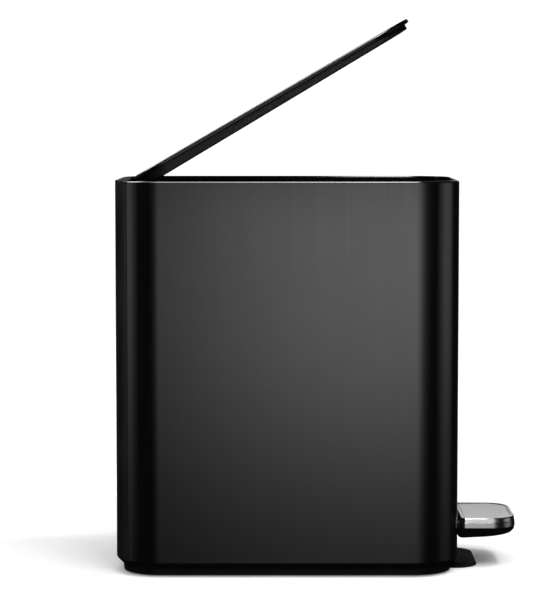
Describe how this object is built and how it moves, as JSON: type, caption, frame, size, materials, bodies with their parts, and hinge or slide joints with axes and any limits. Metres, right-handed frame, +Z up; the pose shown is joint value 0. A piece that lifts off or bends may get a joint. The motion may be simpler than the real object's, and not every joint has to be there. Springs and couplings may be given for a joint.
{
  "type": "pedal trash can",
  "caption": "Slim rectangular kitchen can with a black steel wrap, a pedal, a push rod that lifts the soft-close lid, and an inner bucket.",
  "frame": {"origin": "on the floor, below the middle of the can and its pedal", "axes": "+Z up, -Y towards the pedal, +Y towards the back cover, X across the can"},
  "size_m": [0.16, 0.324, 0.4424],
  "materials": {
    "black_steel": "satin black coating over steel, faintly brushed upright",
    "rear_plastic": "fine moulded texture",
    "black_plastic": "satin moulded black",
    "brushed_steel": "brushed across the pedal",
    "zinc_steel": "zinc plated",
    "grey_plastic": "moulded dark grey",
    "nylon": "natural nylon",
    "rubber": "matte"
  },
  "bodies": {
    "can": {"outer_shell": "black_steel", "back_cover": "rear_plastic", "base": "black_plastic", "foot_plate": "black_plastic", "foot_front_left": "rubber", "foot_front_right": "rubber", "foot_rear_left": "rubber", "foot_rear_right": "rubber", "pedal_bezel": "black_plastic", "rim_frame": "black_plastic", "inner_bucket": "grey_plastic", "hinge_pin_left": "zinc_steel", "hinge_pin_right": "zinc_steel", "pivot_pin": "zinc_steel", "pivot_bracket_left": "zinc_steel", "pivot_bracket_right": "zinc_steel", "bracket_screw_left": "zinc_steel", "bracket_screw_right": "zinc_steel", "plate_screw_left": "zinc_steel", "plate_screw_right": "zinc_steel", "rod_guide_lower": "nylon", "rod_guide_upper": "nylon", "damper_cylinder": "grey_plastic", "damper_clip": "nylon", "lid_bumper_left": "rubber", "lid_bumper_right": "rubber"},
    "lid": {"lid_skin": "black_steel", "lid_liner": "black_plastic", "lid_crank": "black_plastic", "hinge_arm_left": "zinc_steel", "hinge_arm_right": "zinc_steel", "hinge_screw_left": "zinc_steel", "hinge_screw_right": "zinc_steel", "crank_screw_left": "zinc_steel", "crank_screw_right": "zinc_steel"},
    "pedal": {"pedal_cap": "brushed_steel", "pedal_body": "black_plastic", "pedal_lever": "zinc_steel", "pedal_screw_left": "zinc_steel", "pedal_screw_right": "zinc_steel", "pivot_bush_left": "nylon", "pivot_bush_right": "nylon"},
    "lift_rod": {"push_rod": "zinc_steel", "rod_foot": "nylon", "rod_tip": "nylon", "damper_link": "nylon", "damper_piston": "grey_plastic"}
  },
  "joints": [
    {"name": "lid_hinge", "type": "hinge", "parent": "can", "child": "lid", "pos_m": [0, 0.1493, 0.3085], "axis": [-1, 0, 0], "range_deg": [-30.1, 47.9]},
    {"name": "rod_slide", "type": "slide", "parent": "can", "child": "lift_rod", "axis": [0, 0, 1], "range_m": [-0.0073, 0.0116]},
    {"name": "pedal_hinge", "type": "hinge", "parent": "can", "child": "pedal", "pos_m": [0, 0.003, 0.022], "axis": [1, 0, 0], "range_deg": [-3.15, 5]}
  ],
  "couplings": [
    {"joint": "rod_slide", "follows": "lid_hinge", "m_per_rad": 0.01387},
    {"joint": "pedal_hinge", "follows": "lid_hinge", "ratio": 0.10429}
  ]
}
